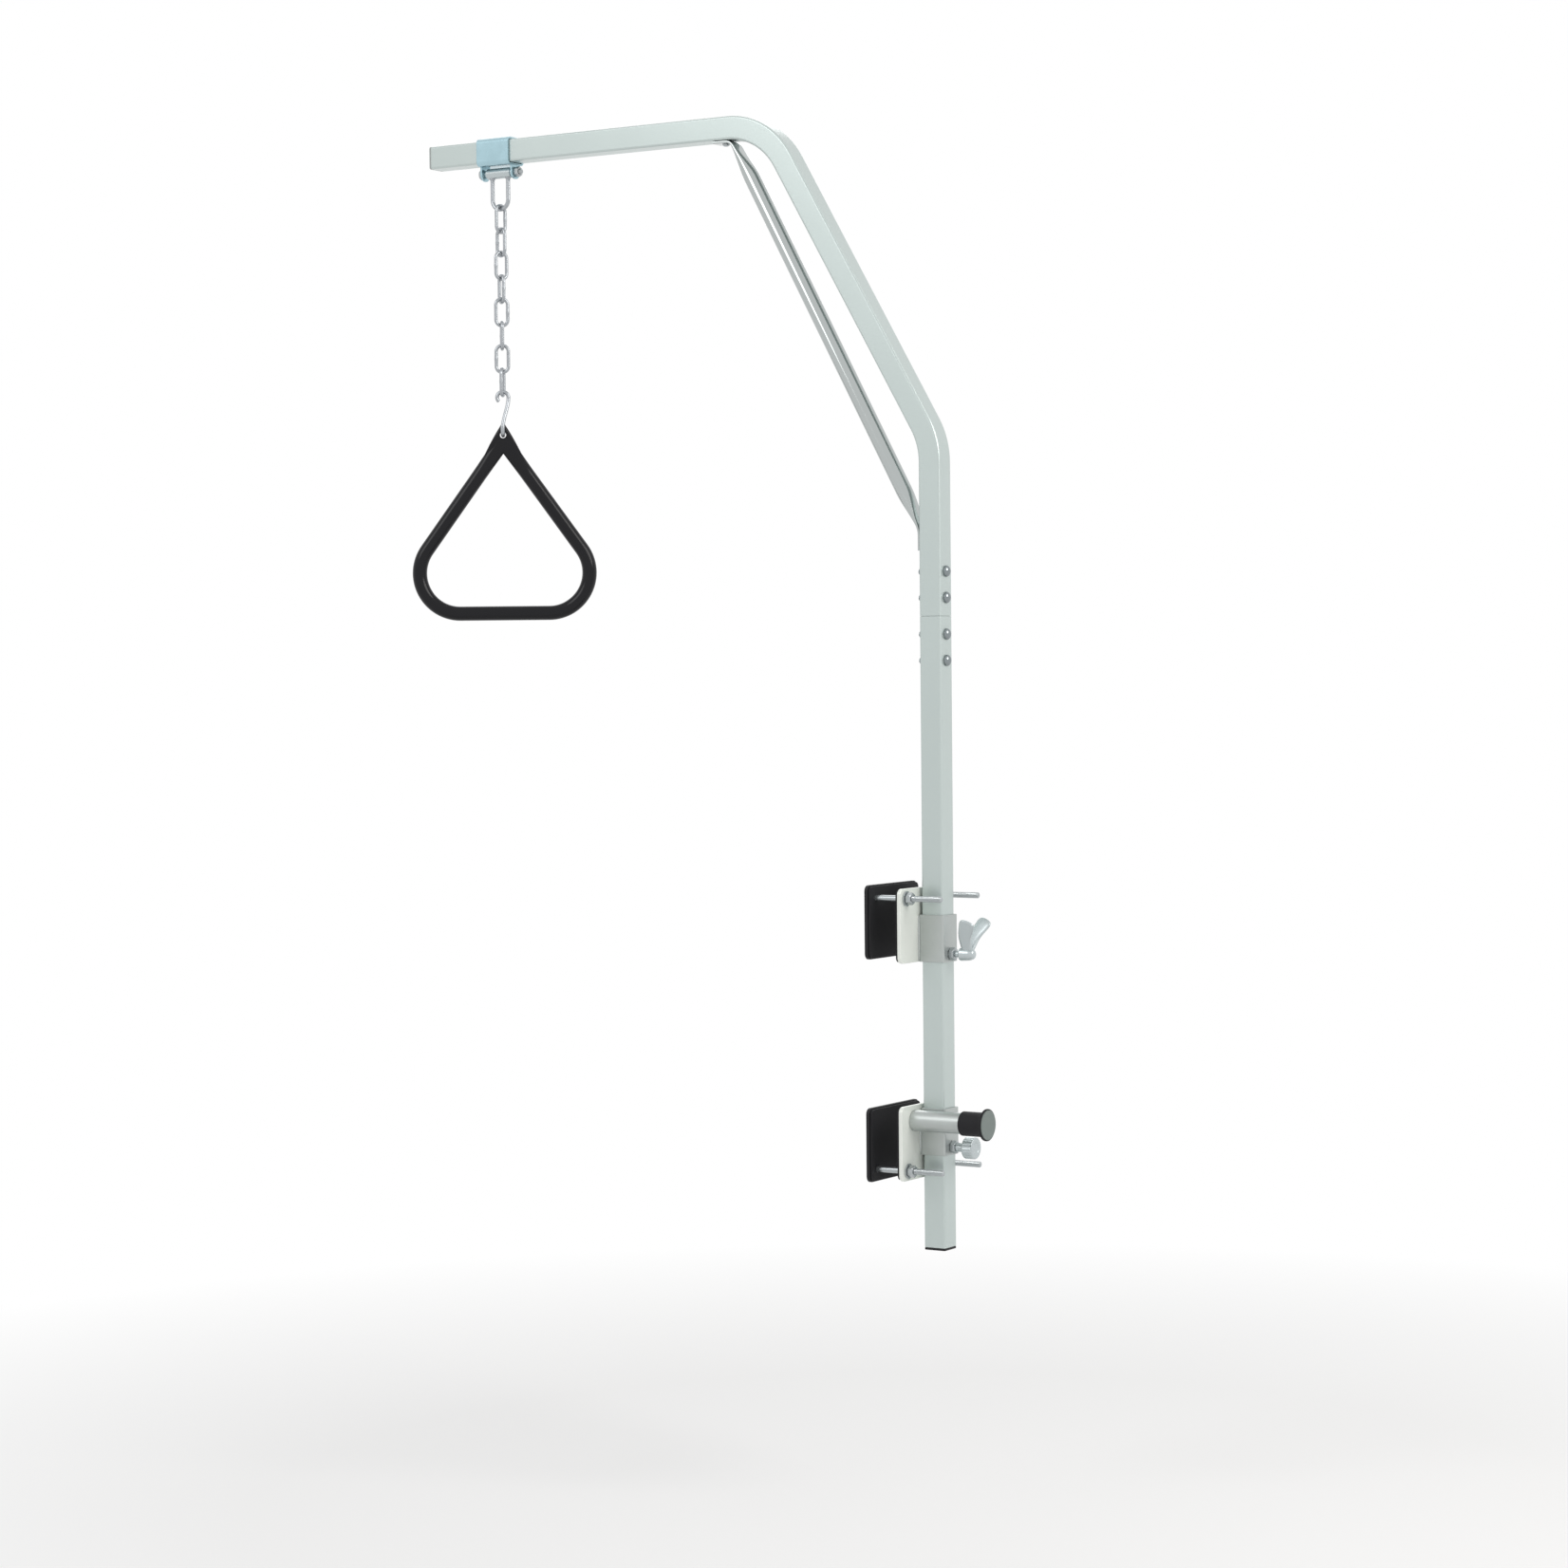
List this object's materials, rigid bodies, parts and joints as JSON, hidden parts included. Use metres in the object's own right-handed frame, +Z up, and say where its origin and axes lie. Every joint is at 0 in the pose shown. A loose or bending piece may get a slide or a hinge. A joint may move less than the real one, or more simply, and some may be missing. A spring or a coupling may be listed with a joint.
{
  "type": "bed trapeze",
  "caption": "Clamp-on bed trapeze: bent square-tube mast with a braced arm, clamp brackets, sliding carrier, short chain and a triangular grab handle.",
  "frame": {"origin": "centre of the upper bracket's gripping face, on the mast's plane of symmetry", "axes": "+Z up along the mast, -X from the gripping face into the panel that the brackets hold and along the arm to its tip, +Y across the mast"},
  "size_m": [0.9039, 0.147, 1.5194],
  "materials": {
    "satin_zinc": "satin zinc plate",
    "bright_zinc": "bright zinc plate",
    "blue_zinc": "blue passivated zinc plate",
    "chrome": "polished",
    "black_steel": "black coat",
    "black_rubber": "matt",
    "grey_rubber": "matt",
    "grey_plastic": "matt",
    "black_plastic": "matt",
    "black_vinyl": "smooth glossy coat"
  },
  "bodies": {
    "upper_bracket": {"upper_front_pad": "black_rubber", "upper_front_plate": "bright_zinc", "upper_washer_near": "bright_zinc", "upper_washer_far": "bright_zinc", "upper_clamp_nut_near": "bright_zinc", "upper_clamp_nut_far": "bright_zinc", "upper_sleeve": "bright_zinc", "upper_weld_nut": "bright_zinc"},
    "upper_jaw": {"upper_back_pad": "black_rubber", "upper_back_plate": "black_steel", "upper_clamp_bolt_near": "bright_zinc", "upper_clamp_bolt_far": "bright_zinc"},
    "upper_screw": {"upper_wing_screw": "bright_zinc"},
    "mast": {"upper_bar": "satin_zinc", "lower_bar": "satin_zinc", "splice_insert": "bright_zinc", "splice_bolt_1": "chrome", "splice_bolt_2": "chrome", "splice_bolt_3": "chrome", "splice_bolt_4": "chrome", "splice_nut_1": "chrome", "splice_nut_2": "chrome", "splice_nut_3": "chrome", "splice_nut_4": "chrome", "mast_end_plug": "black_plastic", "arm_end_plug": "grey_plastic", "brace_tube": "chrome", "brace_foot_screw": "bright_zinc", "brace_head_screw": "bright_zinc"},
    "lower_bracket": {"lower_front_pad": "black_rubber", "lower_front_plate": "bright_zinc", "lower_washer_near": "bright_zinc", "lower_washer_far": "bright_zinc", "lower_clamp_nut_near": "bright_zinc", "lower_clamp_nut_far": "bright_zinc", "lower_sleeve": "bright_zinc", "lower_weld_nut": "bright_zinc", "bumper_tube": "bright_zinc", "bumper_tip": "black_rubber", "bumper_pad": "grey_rubber"},
    "lower_jaw": {"lower_back_pad": "black_rubber", "lower_back_plate": "black_steel", "lower_clamp_bolt_near": "bright_zinc", "lower_clamp_bolt_far": "bright_zinc"},
    "lower_screw": {"lower_knob_screw": "bright_zinc"},
    "carrier": {"carrier_collar": "blue_zinc", "carrier_bolt": "bright_zinc", "carrier_nut": "bright_zinc"},
    "hanger": {"hanger_barrel": "bright_zinc", "hanger_loop": "bright_zinc"},
    "link_1": {"chain_link_1": "bright_zinc"},
    "link_2": {"chain_link_2": "bright_zinc"},
    "link_3": {"chain_link_3": "bright_zinc"},
    "link_4": {"chain_link_4": "bright_zinc"},
    "link_5": {"chain_link_5": "bright_zinc"},
    "link_6": {"chain_link_6": "bright_zinc"},
    "link_7": {"chain_link_7": "bright_zinc"},
    "link_8": {"chain_link_8": "bright_zinc"},
    "hook": {"handle_hook": "bright_zinc"},
    "handle": {"handle": "black_vinyl"}
  },
  "joints": [
    {"name": "mast_height", "type": "slide", "parent": "upper_bracket", "child": "mast", "axis": [0, 0, 1], "range_m": [-0.27, 0.12]},
    {"name": "lower_bracket_height", "type": "slide", "parent": "upper_bracket", "child": "lower_bracket", "axis": [0, 0, 1], "range_m": [-0.1, 0.1]},
    {"name": "upper_jaw_slide", "type": "slide", "parent": "upper_bracket", "child": "upper_jaw", "axis": [1, 0, 0], "range_m": [-0.041, 0.036]},
    {"name": "lower_jaw_slide", "type": "slide", "parent": "lower_bracket", "child": "lower_jaw", "axis": [1, 0, 0], "range_m": [-0.041, 0.036]},
    {"name": "upper_screw_turn", "type": "hinge", "parent": "upper_bracket", "child": "upper_screw", "pos_m": [0.02765, 0, -0.0385], "axis": [1, 0, 0], "range_deg": [0, 540]},
    {"name": "lower_screw_turn", "type": "hinge", "parent": "lower_bracket", "child": "lower_screw", "pos_m": [0.02765, 0, -0.2935], "axis": [1, 0, 0], "range_deg": [0, 540]},
    {"name": "carrier_slide", "type": "slide", "parent": "mast", "child": "carrier", "axis": [1, 0, 0], "range_m": [-0.075, 0.3]},
    {"name": "hanger_swing", "type": "hinge", "parent": "carrier", "child": "hanger", "pos_m": [-0.67135, 0, 1.04113], "axis": [1, 0, 0], "range_deg": [-45, 45]},
    {"name": "link_1_swing", "type": "hinge", "parent": "hanger", "child": "link_1", "pos_m": [-0.67135, 0, 0.99033], "axis": [-0.9895, 0.1444, 0], "range_deg": [-20, 20]},
    {"name": "link_2_swing", "type": "hinge", "parent": "link_1", "child": "link_2", "pos_m": [-0.67135, 0, 0.95808], "axis": [-0.2857, -0.9583, 0], "range_deg": [-20, 20]},
    {"name": "link_3_swing", "type": "hinge", "parent": "link_2", "child": "link_3", "pos_m": [-0.67135, 0, 0.92527], "axis": [0.907, -0.421, 0], "range_deg": [-20, 20]},
    {"name": "link_4_swing", "type": "hinge", "parent": "link_3", "child": "link_4", "pos_m": [-0.67135, 0, 0.89248], "axis": [0.5476, 0.8368, 0], "range_deg": [-20, 20]},
    {"name": "link_5_swing", "type": "hinge", "parent": "link_4", "child": "link_5", "pos_m": [-0.67135, 0, 0.85967], "axis": [-0.749, 0.6626, 0], "range_deg": [-20, 20]},
    {"name": "link_6_swing", "type": "hinge", "parent": "link_5", "child": "link_6", "pos_m": [-0.67135, 0, 0.82688], "axis": [-0.7638, -0.6455, 0], "range_deg": [-20, 20]},
    {"name": "link_7_swing", "type": "hinge", "parent": "link_6", "child": "link_7", "pos_m": [-0.67135, 0, 0.79407], "axis": [0.5284, -0.849, 0], "range_deg": [-20, 20]},
    {"name": "link_8_swing", "type": "hinge", "parent": "link_7", "child": "link_8", "pos_m": [-0.67135, 0, 0.76128], "axis": [0.9164, 0.4003, 0], "range_deg": [-20, 20]},
    {"name": "hook_swing", "type": "hinge", "parent": "link_8", "child": "hook", "pos_m": [-0.67135, 0, 0.72847], "axis": [-0.527, 0.8499, 0], "range_deg": [-20, 20]},
    {"name": "handle_swing", "type": "hinge", "parent": "hook", "child": "handle", "pos_m": [-0.67135, 0, 0.67274], "axis": [-0.527, 0.8499, 0], "range_deg": [-40, 40]}
  ]
}
